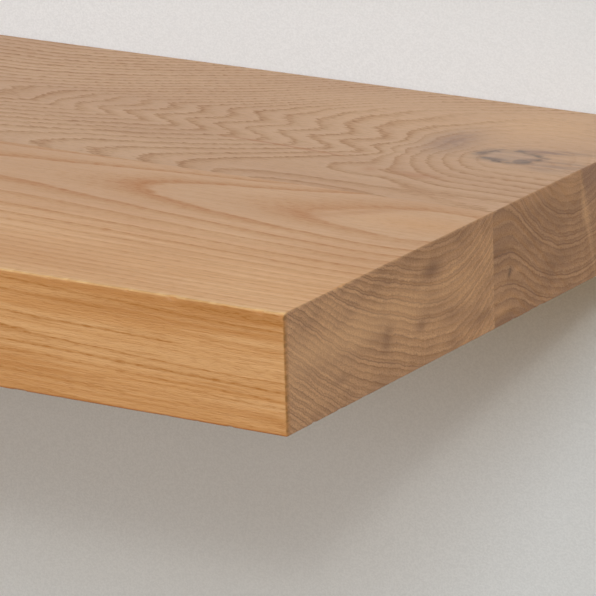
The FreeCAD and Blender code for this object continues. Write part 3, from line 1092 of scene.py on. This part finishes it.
PLATE_CORNER = 3 * MM
PLATE_EASE = 0.5 * MM
ROD_RADIUS = 6 * MM
ROD_HOLE_GAP = 0.03 * MM
WELD_LEG = 3 * MM
WELD_DABS = 11
DAB_DEPTH = 0.32 * MM
ROD_TIP_CHAMFER = 1.5 * MM
SCREW_HOLE_RADIUS = 3 * MM
HEAD_RADIUS = 5 * MM
PLATE_FRONT = PLATE_LOW.y
# Noise waves a metre along each axis, for marks drawn out along X or along Y.
STREAKS = {"x": (6, 900, 900), "y": (900, 6, 900)}
MARK_GREY = (0.30, 0.30, 0.31)
STRAW_HEAT = (0.30, 0.19, 0.10)
BLUE_HEAT = (0.10, 0.13, 0.24)


def screw_places():
    """The x of each wall screw: the outer two from the frame, the rest evenly between."""
    low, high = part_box("wall_screws")
    return np.linspace(low.x + HEAD_RADIUS, high.x - HEAD_RADIUS, 8)


def zinc(name, colour, streak):
    """Zinc-plated steel: cloudy spangle, and fine duller marks along the rolled or drawn length.

    A drawn rod also has the straw and blue heat tints of its weld.
    """
    g = new_material(name)
    marks = g.grain(*STREAKS[streak], 3, 0.6)
    cloud = g.grain(55, 55, 55, 3)
    shade = g.lay(
        colour,
        (cloud.step(0.3, 0.7, 0, 0.6), darker(colour, 0.72)),
        (marks.step(0.45, 0.75, 0, 0.25), MARK_GREY))
    if streak == "y":
        from_weld = (g.place()[1] * -MM_IN_METRE - 9).most(0)
        blue = (from_weld - 7).bell(2.6) * 0.5
        shade = g.lay(shade, (from_weld.bell(5) * 0.75, STRAW_HEAT), (blue, BLUE_HEAT))
    rough = marks * 0.22 + cloud * 0.12 + 0.16
    return g.finish(Base_Color=shade, Roughness=rough, Metallic=1, Normal=g.bump(marks, 0.02 * MM))


def plate_mesh():
    """The flat bar with eased edges, its countersunk screw holes and its rod holes cut through."""
    half_x = (PLATE_HIGH.x - PLATE_LOW.x) / 2
    half_z = (PLATE_HIGH.z - PLATE_LOW.z) / 2
    angle = np.linspace(0, np.pi / 2, 5)
    ease = [(PLATE_EASE * (1 - math.sin(a)), PLATE_EASE * (1 - math.cos(a))) for a in angle[::-1]]
    stations = [(PLATE_FRONT + y, inset) for y, inset in ease] + [(-y, inset) for y, inset in ease[::-1]]
    bar = bar_mesh("zinc_wall_plate", half_x, half_z, PLATE_CORNER, stations)
    before = PLATE_FRONT - PROUD
    radius = [0, HEAD_RADIUS + PROUD, SCREW_HOLE_RADIUS, SCREW_HOLE_RADIUS, 0]
    height = [before, before, PLATE_FRONT + (HEAD_RADIUS - SCREW_HOLE_RADIUS), PROUD, PROUD]
    screw_holes = turned_cutters("screw_holes", radius, height, screw_places(), 40)
    radius = np.array([0, 1, 1, 0]) * (ROD_RADIUS + ROD_HOLE_GAP)
    rod_holes = turned_cutters("rod_holes", radius, [before, before, PROUD, PROUD], rod_places())
    return carve(bar, [screw_holes, rod_holes])


def rod_mesh(name, x, seed):
    """A drawn rod with its weld: a turned surface whose radius at the root follows the bead.

    The bead is a hollow quarter round, with ripples left by each dab of the weld, and the tip is chamfered.
    """
    around, straight_stations = 72, 24
    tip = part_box(ROD_NODES[0])[0].y
    leg = np.linspace(0, 1, 9)
    bead_y = PLATE_FRONT - WELD_LEG * leg
    hollow = 1 - np.sqrt(np.clip(1 - (1 - leg) ** 2, 0, 1))
    phase = np.random.default_rng(seed).uniform(0, 2 * np.pi)
    dabs = np.abs(np.sin(angles(around)[None] * WELD_DABS + phase + leg[:, None] * 1.2)) ** 0.7
    envelope = np.sin(np.pi * np.clip(leg * 0.85 + 0.1, 0, 1))[:, None]
    bead = ROD_RADIUS + WELD_LEG * (0.35 * (1 - leg) + 0.65 * hollow)[:, None] - DAB_DEPTH * dabs * envelope
    bead = np.maximum(bead, ROD_RADIUS - 0.01 * MM)
    straight_y = np.linspace(bead_y[-1] - 1 * MM, tip + ROD_TIP_CHAMFER + 0.2 * MM, straight_stations)
    end = ROD_RADIUS - ROD_TIP_CHAMFER
    stretches = [
        ([0, 2 * MM, 4 * MM, ROD_RADIUS - 0.25 * MM, ROD_RADIUS, ROD_RADIUS],
         [0, 0, 0, 0, -0.25 * MM, PLATE_FRONT + 0.05 * MM]),
        (bead, bead_y),
        (np.full(straight_stations, ROD_RADIUS), straight_y),
        ([ROD_RADIUS, ROD_RADIUS - 0.1 * MM, end + 0.1 * MM, end, end * 0.5, 0],
         tip + np.array([ROD_TIP_CHAMFER, ROD_TIP_CHAMFER - 0.15 * MM, 0.1 * MM, 0, 0, 0])),
    ]
    return turned_mesh(name, along_y(turned_stretches(stretches, around), x), sharp=METAL_SHARP)


class SHELF_OT_bracket(bpy.types.Operator):
    """Models the wall plate and its four welded rods"""

    bl_idname = "shelf.bracket"
    bl_label = "Bracket"

    def execute(self, context):
        colour = tuple(context.scene.shelf_hardware.zinc)
        mesh = plate_mesh()
        mesh.name = "zinc_wall_plate"
        rolled = zinc("zinc_rolled", colour, "x")
        add_piece(tidy_mesh(mesh, METAL_SHARP), rolled, "bracket", ["wall_plate"])
        drawn = zinc("zinc_drawn", colour, "y")
        for number, (node, x) in enumerate(zip(ROD_NODES, rod_places()), start=1):
            rod = rod_mesh(f"welded_rod_{number}", x, number)
            add_piece(rod, drawn, "bracket", [node])
        return {"FINISHED"}


# ---------------------------------------------------------------- wall screws and plugs


SCREW_PITCH = 2.2 * MM
SCREW_ROOT = 1.55 * MM
SCREW_CREST = 2.48 * MM
SCREW_POINT = 0.3 * MM
SHANK_RADIUS = 1.8 * MM
THREAD_START = 2.5 * MM
THREAD_END = 45 * MM
DRIVE_HALF_SPAN = 2.5 * MM
DRIVE_HALF_WIDTH = 0.65 * MM
DRIVE_DEPTH = 2 * MM
PLUG_RADIUS = 4 * MM
PLUG_BORE = 2.55 * MM
PLUG_COLLAR_END = 14.5 * MM
PLUG_SLIT_END = 38.5 * MM
PLUG_HALF_SLIT = 0.6 * MM
RIB_PITCH = 2.4 * MM
RIB_DEPTH = 0.4 * MM
FIN_BASE = 3.4 * MM
# A fin's height from the axis and its half width, from the collar's mouth to its end.
FIN_TIPS = np.array([4.1, 4.9, 4.9, 4.3]) * MM
FIN_HALF_WIDTHS = np.array([0.25, 0.5, 0.5, 0.4]) * MM
GREEN_GOLD = (0.52, 0.50, 0.22)
ROSE_GOLD = (0.62, 0.36, 0.26)


def yellow_zinc(name, colour):
    """Yellow passivated zinc: gold that drifts towards green and rose, with a fine grain."""
    g = new_material(name)
    drift = g.grain(260, 90, 260)
    fine = g.grain(2500, 2500, 2500)
    shade = g.lay(GREEN_GOLD, (drift.step(0.35, 0.65), colour), (drift.step(0.55, 0.75, 0, 0.5), ROSE_GOLD))
    return g.finish(Base_Color=shade, Roughness=fine * 0.2 + 0.2, Metallic=1, Normal=g.bump(fine, 0.01 * MM))


def nylon(name, colour):
    """Moulded nylon: slightly uneven, with a fine matt grain and a soft sheen."""
    g = new_material(name)
    grain = g.grain(1500, 1500, 1500)
    cloud = g.grain(120, 60, 120)
    shade = g.mix(cloud.step(0.35, 0.7, 0, 0.5), colour, darker(colour, 0.8))
    return g.finish(Base_Color=shade, Roughness=grain * 0.2 + 0.38, Normal=g.bump(grain, 0.03 * MM))


def cross_arm(long, wide):
    """How deep one arm of the cross recess is, from 0 to 1, sloping up along it and steep at its sides."""
    soft = np.clip((DRIVE_HALF_WIDTH - wide) / (0.3 * MM) + 0.5, 0, 1)
    return soft * np.clip((DRIVE_HALF_SPAN - long) / (1.1 * MM), 0, 1)


def screw_mesh():
    """A countersunk screw along Y at x = 0: head with a cross recess, shank, helical thread and a point."""
    around, angle = 40, angles(40)
    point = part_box("wall_screws")[1].y
    rings = HEAD_RADIUS * np.linspace(0, 0.985, 17) ** 0.85
    a, b = np.abs(rings[:, None] * np.cos(angle)), np.abs(rings[:, None] * np.sin(angle))
    recess = DRIVE_DEPTH * np.maximum(cross_arm(a, b), cross_arm(b, a))
    neck = PLATE_FRONT + HEAD_RADIUS - SHANK_RADIUS
    thread_y = np.linspace(THREAD_START - 2 * MM, THREAD_END + 3.2 * MM, 168)
    fade = smooth_step(thread_y, THREAD_START - 2 * MM, THREAD_START + 2 * MM)
    fade = fade * (1 - smooth_step(thread_y, THREAD_END - 3 * MM, THREAD_END + 3.2 * MM))
    taper = smooth_step(thread_y, THREAD_END - 3 * MM, THREAD_END + 3.6 * MM)
    core = SCREW_ROOT - (SCREW_ROOT - SCREW_POINT) * taper
    ridge = thread(thread_y, SCREW_PITCH, around, 0.3) * (fade * (SCREW_CREST - SCREW_ROOT))[:, None]
    stretches = [
        (rings, PLATE_FRONT + recess),
        ([HEAD_RADIUS, HEAD_RADIUS - 0.25 * MM, SHANK_RADIUS + 0.2 * MM, SHANK_RADIUS],
         [PLATE_FRONT + 0.06 * MM, PLATE_FRONT + 0.3 * MM, neck - 0.1 * MM, neck]),
        ([SHANK_RADIUS, SHANK_RADIUS, SCREW_ROOT], [-1 * MM, -0.2 * MM, 0.3 * MM]),
        (core[:, None] + ridge, thread_y),
        ([0], [point]),
    ]
    return turned_mesh("one_screw", along_y(turned_stretches(stretches, around), 0.0))


def box_mesh(name, low, high):
    """A plain block between two corners, used as a cutter."""
    spans = list(zip(low, high))
    corner = np.array([[x, y, z] for x in spans[0] for y in spans[1] for z in spans[2]])
    faces = np.array([[0, 1, 3, 2], [4, 6, 7, 5], [0, 4, 5, 1], [2, 3, 7, 6], [0, 2, 6, 4], [1, 5, 7, 3]])
    return closed_mesh(name, corner, faces)


def plug_mesh():
    """A nylon plug along Y at x = 0: a plain collar, saw-tooth ribs, a slit waist, a nose and two fins."""
    low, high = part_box("wall_plugs")
    rib_y = np.arange(PLUG_COLLAR_END, PLUG_SLIT_END, RIB_PITCH / 4)
    rise = ((rib_y - PLUG_COLLAR_END) / RIB_PITCH) % 1.0
    nose = PLUG_RADIUS - 0.1 * MM
    stretches = [
        ([PLUG_BORE, PLUG_BORE + 0.4 * MM, PLUG_RADIUS - 0.3 * MM, PLUG_RADIUS],
         [low.y + 0.4 * MM, low.y, low.y, low.y + 0.3 * MM]),
        (PLUG_RADIUS - RIB_DEPTH * rise, rib_y),
        ([nose, nose, PLUG_RADIUS - 1.1 * MM, PLUG_BORE], [PLUG_SLIT_END, high.y - 2.4 * MM, high.y, high.y]),
    ]
    tube = turned_mesh("one_plug", along_y(turned_stretches(stretches, 48), 0.0), hollow=True)
    slit_low, slit_high = (-PLUG_HALF_SLIT, PLUG_COLLAR_END, -6 * MM), (PLUG_HALF_SLIT, PLUG_SLIT_END, 6 * MM)
    fins = [fin_mesh(side, low.y) for side in (1, -1)]
    return carve(carve(tube, [box_mesh("slit", slit_low, slit_high)]), fins, "UNION")


def fin_mesh(side, start):
    """One fin of a plug: a thin wedge that rises from the collar's mouth and ends square."""
    y = np.array([start + 0.2 * MM, start + 4 * MM, PLUG_COLLAR_END - 0.8 * MM, PLUG_COLLAR_END])
    base = np.full(4, FIN_BASE)
    corners = [(-1, base), (1, base), (1, FIN_TIPS), (-1, FIN_TIPS)]
    edges = [np.stack([way * FIN_HALF_WIDTHS, y, height * side], -1) for way, height in corners]
    ring = np.stack(edges, axis=1)
    centre = ring.mean(axis=1, keepdims=True)
    ends = np.concatenate([np.repeat(centre[:1], 4, axis=1), ring, np.repeat(centre[-1:], 4, axis=1)])
    return closed_mesh("fin", ends, grid_faces(6, 4), METAL_SHARP)


class SHELF_OT_wall_fixings(bpy.types.Operator):
    """Models the eight wall screws with their threads and the eight nylon plugs"""

    bl_idname = "shelf.wall_fixings"
    bl_label = "Wall screws and plugs"

    def execute(self, context):
        finish = context.scene.shelf_hardware
        offsets = [(x, 0, 0) for x in screw_places()]
        screws = copies("csk_wall_screws", screw_mesh(), offsets)
        gold = yellow_zinc("zinc_yellow", tuple(finish.yellow_zinc))
        add_piece(screws, gold, "bracket", ["wall_screws"])
        plugs = copies("nylon_wall_plugs", plug_mesh(), offsets, METAL_SHARP)
        grey = nylon("nylon_grey", tuple(finish.nylon))
        add_piece(plugs, grey, "bracket", ["wall_plugs"])
        return {"FINISHED"}


# ---------------------------------------------------------------- locks


LOCK_PITCH = 1 * MM
LOCK_ROOT = 2.44 * MM
LOCK_CREST = 2.97 * MM
LOCK_GAP = 0.07 * MM
INSERT_RADIUS = 4.5 * MM
INSERT_ROOT = 3.95 * MM
INSERT_PITCH = 2 * MM
MOUTH_CHAMFER = 0.6 * MM
HEX_HALF_FLATS = 1.5 * MM
HEX_DEPTH = 3.5 * MM
BROWN_BRASS = (0.50, 0.31, 0.12)
BARE_STEEL = (0.20, 0.20, 0.21)


def brass(name, colour):
    """Turned brass: fine rings from the tool, slightly browned in the clouds."""
    g = new_material(name)
    rings = g.grain(30, 30, 9000)
    cloud = g.grain(300, 300, 300)
    shade = g.mix(cloud.step(0.4, 0.7, 0, 0.6), colour, BROWN_BRASS)
    relief = g.bump(rings, 0.01 * MM)
    return g.finish(Base_Color=shade, Roughness=rings * 0.15 + 0.2, Metallic=1, Normal=relief)


def black_oxide(name, colour):
    """Blackened steel: nearly black, with a fine grain and bare worn spots."""
    g = new_material(name)
    grain = g.grain(2500, 2500, 2500, 3)
    wear = g.grain(500, 500, 500, 3)
    shade = g.mix(wear.step(0.6, 0.8, 0, 0.5), colour, BARE_STEEL)
    relief = g.bump(grain, 0.01 * MM)
    return g.finish(Base_Color=shade, Roughness=grain * 0.2 + 0.32, Metallic=0.85, Normal=relief)


def insert_mesh(name, node):
    """A threaded insert along Z: a coarse thread outside, the lock screw's thread inside, eased mouths."""
    around = 56
    low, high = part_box(node)
    outer_z = np.linspace(low.z + 0.5 * MM, high.z - 0.5 * MM, 60)
    inner_z = np.linspace(high.z - MOUTH_CHAMFER, low.z + MOUTH_CHAMFER, 96)
    coarse = INSERT_ROOT + (INSERT_RADIUS - INSERT_ROOT) * thread(outer_z, INSERT_PITCH, around, 0.42)
    fine = LOCK_ROOT + LOCK_GAP + (LOCK_CREST - LOCK_ROOT) * thread(inner_z, LOCK_PITCH, around)
    wide = LOCK_CREST + LOCK_GAP + MOUTH_CHAMFER * 0.8
    stretches = [
        ([wide, INSERT_ROOT], [low.z, low.z]),
        (coarse, outer_z),
        ([INSERT_ROOT, wide], [high.z, high.z]),
        (fine, inner_z),
    ]
    points = turned_stretches(stretches, around) + [*middle(node), 0.0]
    return turned_mesh(name, points, hollow=True, sharp=METAL_SHARP)


def lock_screw_mesh(name, node):
    """A socket set screw along Z, drawn from the bottom of its hexagon socket over the rim to its point."""
    around = 60
    low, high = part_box(node)
    sixth = np.pi / 3
    hexagon = HEX_HALF_FLATS / np.cos((angles(around) + sixth / 2) % sixth - sixth / 2)
    socket = np.stack([hexagon * 0, hexagon * 0.9, hexagon, hexagon, hexagon + 0.12 * MM])
    socket_z = low.z + np.array([HEX_DEPTH, HEX_DEPTH - 0.35 * MM, HEX_DEPTH - 0.5 * MM, 0.12 * MM, 0.0])
    thread_z = np.linspace(low.z + 0.35 * MM, high.z - 1.0 * MM, 92)
    fade = smooth_step(thread_z, low.z + 0.2 * MM, low.z + 0.9 * MM)
    fade = fade * (1 - smooth_step(thread_z, high.z - 1.7 * MM, high.z - 1.0 * MM))
    ridge = thread(thread_z, LOCK_PITCH, around) * (fade * (LOCK_CREST - LOCK_ROOT))[:, None]
    stretches = [
        (socket, socket_z),
        ([LOCK_ROOT - 0.1 * MM], [low.z]),
        (LOCK_ROOT + ridge, thread_z),
        ([1.9 * MM, 1.7 * MM, 0], [high.z - 0.12 * MM, high.z, high.z]),
    ]
    points = turned_stretches(stretches, around) + [*middle(node), 0.0]
    return turned_mesh(name, points, sharp=METAL_SHARP)


class SHELF_OT_locks(bpy.types.Operator):
    """Models the two brass inserts and the two set screws that clamp the slab on its rods"""

    bl_idname = "shelf.locks"
    bl_label = "Locks"

    def execute(self, context):
        finish = context.scene.shelf_hardware
        gold = brass("brass_turned", tuple(finish.brass))
        black = black_oxide("oxide_black", tuple(finish.black_oxide))
        for side in ("left", "right"):
            insert = insert_mesh(f"brass_insert_{side}", f"lock_insert_{side}")
            add_piece(insert, gold, "shelf", [f"lock_insert_{side}"])
            screw = lock_screw_mesh(f"set_screw_{side}", f"lock_screw_{side}")
            add_piece(screw, black, f"lock_{side}", [f"lock_screw_{side}"])
        return {"FINISHED"}


# ---------------------------------------------------------------- stage


WALL_REACH = 6.0
WALL_BEHIND = 0.5 * MM
FLOOR_DROP = 0.62
CAMERA_PLACE = (1.27779, -1.59790, 0.51344)
CAMERA_CLIP = (0.05, 60)
SENSOR_WIDTH = 36
BACKDROP = (0.74, 0.71, 0.69, 1.0)
# Each lamp's name, turn to the right, height, the light it adds to the wall and the angle it fills.
LAMPS = (
    ("key_core", 31.9, 27.1, (0.051, 0.052, 0.049), 3.0),
    ("key", 31.0, 33.9, (0.153, 0.184, 0.208), 20.6),
    ("front_fill", -14.3, 9.2, (0.194, 0.211, 0.240), 28.7),
    ("back_fill", 170.0, -8.0, (0.30, 0.29, 0.28), 40.0),
)


def stage_sheet(name, corners, material):
    """One flat sheet of the stage: it casts no shadow and throws no light on the shelf."""
    mesh = bpy.data.meshes.new(name)
    mesh.from_pydata(corners, [], [(0, 1, 2, 3)])
    sheet = new_object(mesh)
    mesh.materials.append(material)
    sheet.visible_shadow = False
    sheet.visible_diffuse = False
    return sheet


def paint(name, colour, mottle):
    """Matt paint with a faint mottle and a fine stipple, fully clear where it is seen from its back."""
    g = new_material(name)
    cloud = g.grain(4, 4, 4)
    stipple = g.grain(1300, 1300, 1300, 2, 0.6)
    shade = g.lay(
        colour,
        (cloud.step(0.3, 0.7, 0, mottle), darker(colour, 0.96)),
        (stipple.step(0.3, 0.7, 0, mottle), darker(colour, 0.90)))
    relief = g.bump(stipple, 0.12 * MM)
    front = g.principled(Base_Color=shade, Roughness=0.85, Specular_IOR_Level=0.15, Normal=relief)
    back = g.node("ShaderNodeNewGeometry", {}, {}, "Backfacing")
    clear = g.node("ShaderNodeBsdfTransparent", {}, {})
    mixed = g.node("ShaderNodeMixShader", {}, {0: back, 1: front, 2: clear})
    return g.surface("ShaderNodeOutputMaterial", mixed)


def aim(obj, toward):
    """Turns a lamp so that it shines from the given direction."""
    obj.rotation_mode = "QUATERNION"
    obj.rotation_quaternion = Vector(toward).to_track_quat("Z", "Y")


def sun(name, turn, height, radiance, width):
    """A distant lamp by its turn to the right and height in degrees.

    Its radiance is the light it adds to a white wall facing -Y. Its width is the angle it fills, in degrees.
    """
    turn, height = math.radians(turn), math.radians(height)
    direction = (math.sin(turn) * math.cos(height), -math.cos(turn) * math.cos(height), math.sin(height))
    light = bpy.data.lights.new(name, "SUN")
    peak = max(radiance)
    light.color = [c / peak for c in radiance]
    light.energy = peak * math.pi / abs(direction[1])
    light.angle = math.radians(width)
    made = bpy.data.objects.new(name, light)
    bpy.context.scene.collection.objects.link(made)
    aim(made, direction)
    made.visible_camera = False


def world_light(below, above, zenith):
    """Room light, strong from above and weak off the floor; cameras and mirrors see a pale backdrop."""
    world = bpy.data.worlds.new("room")
    bpy.context.scene.world = world
    g = Graph(world)
    way = g.node("ShaderNodeTexCoord", {}, {}, "Generated")
    up = g.node("ShaderNodeSeparateXYZ", {}, {0: way}, 2)
    room = g.lay(below, (up.step(0, 0.42), above), (up.step(0.60, 0.95), zenith))
    kinds = ("Is Camera Ray", "Is Glossy Ray", "Is Transmission Ray")
    camera, glossy, through = [g.node("ShaderNodeLightPath", {}, {}, kind) for kind in kinds]
    light = g.node("ShaderNodeBackground", {}, {"Color": room, "Strength": 1.0})
    pale = g.node("ShaderNodeBackground", {}, {"Color": BACKDROP, "Strength": 1.0})
    seen = camera.most(glossy).most(through)
    g.surface("ShaderNodeOutputWorld", g.node("ShaderNodeMixShader", {}, {0: seen, 1: light, 2: pale}))


def place_camera(stage):
    """The camera: its own axes from yaw, pitch and roll, looking along their third axis backwards."""
    yaw, pitch, roll = stage.yaw, stage.pitch, stage.roll
    forward = Vector((-math.sin(yaw) * math.cos(pitch), math.cos(yaw) * math.cos(pitch), -math.sin(pitch)))
    right = Vector((math.cos(yaw), math.sin(yaw), 0))
    up = right.cross(forward)
    right, up = right * math.cos(roll) + up * math.sin(roll), up * math.cos(roll) - right * math.sin(roll)
    turn = Matrix((right, up, -forward)).transposed().to_4x4()
    lens = bpy.data.cameras.new("camera")
    lens.lens, lens.sensor_width = stage.lens, SENSOR_WIDTH
    lens.clip_start, lens.clip_end = CAMERA_CLIP
    camera = bpy.data.objects.new("camera", lens)
    bpy.context.scene.collection.objects.link(camera)
    camera.matrix_world = Matrix.Translation(CAMERA_PLACE) @ turn
    bpy.context.scene.camera = camera


class SHELF_OT_stage(bpy.types.Operator):
    """Builds the wall, floor, lamps and camera"""

    bl_idname = "shelf.stage"
    bl_label = "Stage"

    def execute(self, context):
        stage = context.scene.shelf_stage
        behind, low, far = WALL_BEHIND, -FLOOR_DROP, WALL_REACH
        wall = [(-far, behind, low), (far, behind, low), (far, behind, far), (-far, behind, far)]
        stage_sheet("wall", wall, paint("wall_paint", tuple(stage.wall), 0.9))
        floor = [(-far, -far, low), (far, -far, low), (far, behind, low), (-far, behind, low)]
        stage_sheet("floor", floor, paint("floor_paint", tuple(stage.floor), 0.3))
        for name, turn, height, radiance, width in LAMPS:
            sun(name, turn, height, darker(radiance, stage.strength), width)
        world_light(*(darker(light, stage.strength) for light in (stage.below, stage.above, stage.zenith)))
        context.scene.view_settings.view_transform = "Standard"
        place_camera(stage)
        return {"FINISHED"}


# ---------------------------------------------------------------- add-on


OPERATORS = (SHELF_OT_staves, SHELF_OT_bracket, SHELF_OT_wall_fixings, SHELF_OT_locks, SHELF_OT_stage)
SETTINGS = {
    "shelf_board": ShelfBoardSettings,
    "shelf_oak": ShelfOakSettings,
    "shelf_hardware": ShelfHardwareSettings,
    "shelf_stage": ShelfStageSettings,
}


class SHELF_PT_panel(bpy.types.Panel):
    """The shelf's settings and operators"""

    bl_idname = "SHELF_PT_panel"
    bl_label = "Oak shelf"
    bl_space_type = "VIEW_3D"
    bl_region_type = "UI"
    bl_category = "Shelf"

    def draw(self, context):
        for name, group in SETTINGS.items():
            settings = getattr(context.scene, name)
            box = self.layout.box()
            box.label(text=group.__doc__)
            for key in group.__annotations__:
                box.prop(settings, key)
        for operator in OPERATORS:
            self.layout.operator(operator.bl_idname)


def register():
    for kind in (*SETTINGS.values(), *OPERATORS, SHELF_PT_panel):
        bpy.utils.register_class(kind)
    for name, group in SETTINGS.items():
        setattr(bpy.types.Scene, name, bpy.props.PointerProperty(type=group))


def unregister():
    for name in SETTINGS:
        delattr(bpy.types.Scene, name)
    for kind in (SHELF_PT_panel, *reversed(OPERATORS), *reversed(SETTINGS.values())):
        bpy.utils.unregister_class(kind)


def main():
    """Registers the add-on and builds every piece and the stage."""
    register()
    for operator in OPERATORS:
        group, name = operator.bl_idname.split(".")
        getattr(getattr(bpy.ops, group), name)()


if __name__ == "__main__":
    main()
